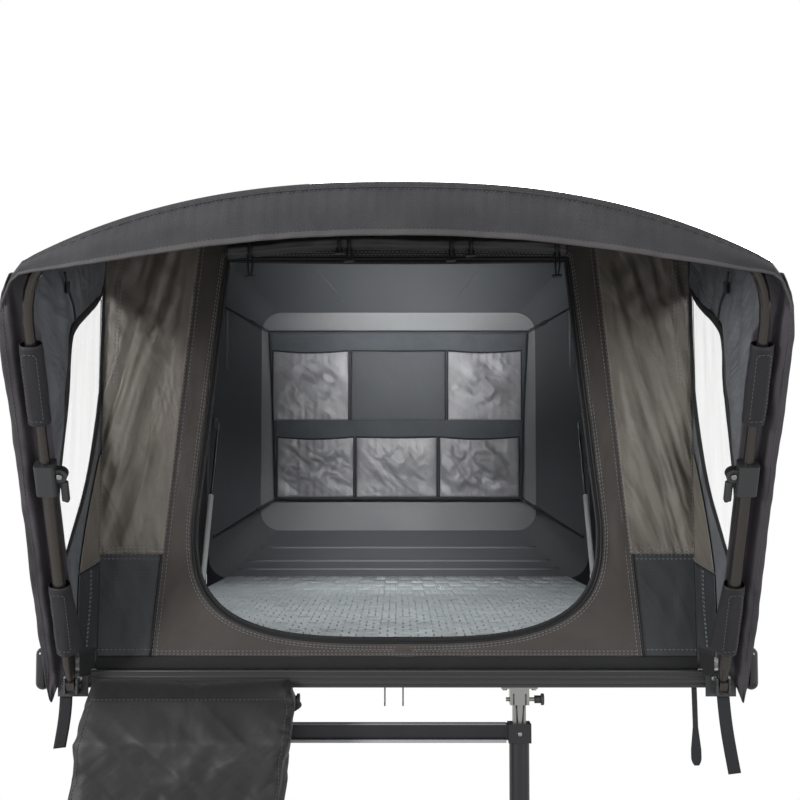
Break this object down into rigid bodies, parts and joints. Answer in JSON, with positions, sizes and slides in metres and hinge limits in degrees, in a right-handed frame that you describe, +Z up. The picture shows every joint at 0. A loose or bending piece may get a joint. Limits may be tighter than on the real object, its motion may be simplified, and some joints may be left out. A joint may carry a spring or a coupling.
{
  "type": "rooftop tent",
  "caption": "Fold-out rooftop tent, pitched: moulded lid open as rear wall, folded-out floor, canvas body with open doorway, arched awning on a telescopic hoop, ladder and shoe bag.",
  "frame": {"origin": "middle of the underside of the front mounting rail", "axes": "+X to the right of someone looking in at the door, -Y out of the doorway towards that person, +Z up"},
  "size_m": [1.436, 3.1227, 3.168],
  "materials": {
    "rail_aluminium": "mill finished extrusion",
    "floor_panel": "dark laminated sandwich panel",
    "black_profile": "black anodised extrusion",
    "steel": "zinc plated steel",
    "bumper": "glossy black moulding",
    "lid_abs": "grained grey moulded sheet",
    "strut": "polished rod and painted cylinder",
    "mattress_cover": "light grey quilted knit",
    "canvas_khaki": "ripstop canvas",
    "panel_black": "black coated ripstop",
    "band_brown": "dark brown coated canvas",
    "door_black": "black canvas",
    "body_canvas": "charcoal canvas",
    "roof_canvas": "charcoal coated canvas",
    "hoop_tube": "natural anodised tube",
    "awning_cloth": "charcoal coated cloth",
    "window_film": "clear flexible film",
    "pole_tube": "black-brown satin coating",
    "clamp_plastic": "black moulded nylon",
    "bracket_steel": "plated steel",
    "organizer_cloth": "grey cloth",
    "pocket_cloth": "silver grey ripstop",
    "elastic": "black elastic cord",
    "ladder_black": "black anodised tube and nylon collars",
    "foot_rubber": "matt rubber",
    "webbing": "black webbing",
    "bag_cloth": "black coated cloth"
  },
  "bodies": {
    "root": {"mounting_rails": "rail_aluminium", "rear_floor": "floor_panel", "front_floor": "floor_panel", "front_profile": "black_profile", "edge_profiles": "black_profile", "floor_hinge": "steel", "side_bumpers": "bumper", "lid_shell": "lid_abs", "lid_hinges": "steel", "gas_struts": "strut", "mattress_rear": "mattress_cover", "mattress_front": "mattress_cover", "front_panel_left": "canvas_khaki", "front_panel_right": "canvas_khaki", "lower_panels": "panel_black", "door_jamb_left": "band_brown", "door_jamb_right": "band_brown", "door_sill": "band_brown", "door_header": "band_brown", "front_skirt": "panel_black", "rolled_door": "door_black", "side_wall_left": "body_canvas", "side_wall_right": "body_canvas", "roof_fabric": "roof_canvas", "inner_hoop": "hoop_tube", "awning_roof": "awning_cloth", "awning_sides": "awning_cloth", "awning_windows": "window_film", "pole_brackets": "bracket_steel", "organizer_panel": "organizer_cloth", "organizer_pockets": "pocket_cloth", "organizer_cords": "elastic", "ladder_brackets": "steel", "wire_hooks": "steel", "straps": "webbing", "shoe_bag": "bag_cloth"},
    "awning": {"awning_hoop": "pole_tube", "lower_poles": "pole_tube", "pole_cuffs": "awning_cloth", "side_flaps": "awning_cloth", "clamp_bodies": "clamp_plastic", "valance": "awning_cloth"},
    "lever_left": {"lever_left": "clamp_plastic"},
    "lever_right": {"lever_right": "clamp_plastic"},
    "ladder_1": {"ladder_forks": "steel", "ladder_section_1": "ladder_black"},
    "ladder_2": {"ladder_section_2": "ladder_black"},
    "ladder_3": {"ladder_section_3": "ladder_black"},
    "ladder_4": {"ladder_section_4": "ladder_black"},
    "ladder_5": {"ladder_section_5": "ladder_black"},
    "ladder_6": {"ladder_section_6": "ladder_black", "ladder_feet": "foot_rubber"}
  },
  "joints": [
    {"name": "awning_fold", "type": "hinge", "parent": "root", "child": "awning", "pos_m": [0, -1.416, 0.03], "axis": [1, 0, 0], "range_deg": [-25, 0], "deforming": ["awning_roof", "awning_sides", "awning_windows"]},
    {"name": "lever_left_turn", "type": "hinge", "parent": "awning", "child": "lever_left", "pos_m": [-0.60536, -1.67432, 0.44339], "axis": [0, -0.848, -0.5299], "range_deg": [0, 100]},
    {"name": "lever_right_turn", "type": "hinge", "parent": "awning", "child": "lever_right", "pos_m": [0.60536, -1.67432, 0.44339], "axis": [0, 0.848, 0.5299], "range_deg": [0, 100]},
    {"name": "ladder_swing", "type": "hinge", "parent": "root", "child": "ladder_1", "pos_m": [0, -1.378, -0.001], "axis": [1, 0, 0], "range_deg": [0, 40]},
    {"name": "ladder_slide_2", "type": "slide", "parent": "ladder_1", "child": "ladder_2", "axis": [0, 0, 1], "range_m": [0, 0.245]},
    {"name": "ladder_slide_3", "type": "slide", "parent": "ladder_2", "child": "ladder_3", "axis": [0, 0, 1], "range_m": [0, 0.245]},
    {"name": "ladder_slide_4", "type": "slide", "parent": "ladder_3", "child": "ladder_4", "axis": [0, 0, 1], "range_m": [0, 0.245]},
    {"name": "ladder_slide_5", "type": "slide", "parent": "ladder_4", "child": "ladder_5", "axis": [0, 0, 1], "range_m": [0, 0.245]},
    {"name": "ladder_slide_6", "type": "slide", "parent": "ladder_5", "child": "ladder_6", "axis": [0, 0, 1], "range_m": [0, 0.245]}
  ],
  "couplings": [
    {"joint": "ladder_slide_3", "follows": "ladder_slide_2", "ratio": 1},
    {"joint": "ladder_slide_4", "follows": "ladder_slide_2", "ratio": 1},
    {"joint": "ladder_slide_5", "follows": "ladder_slide_2", "ratio": 1},
    {"joint": "ladder_slide_6", "follows": "ladder_slide_2", "ratio": 1}
  ]
}
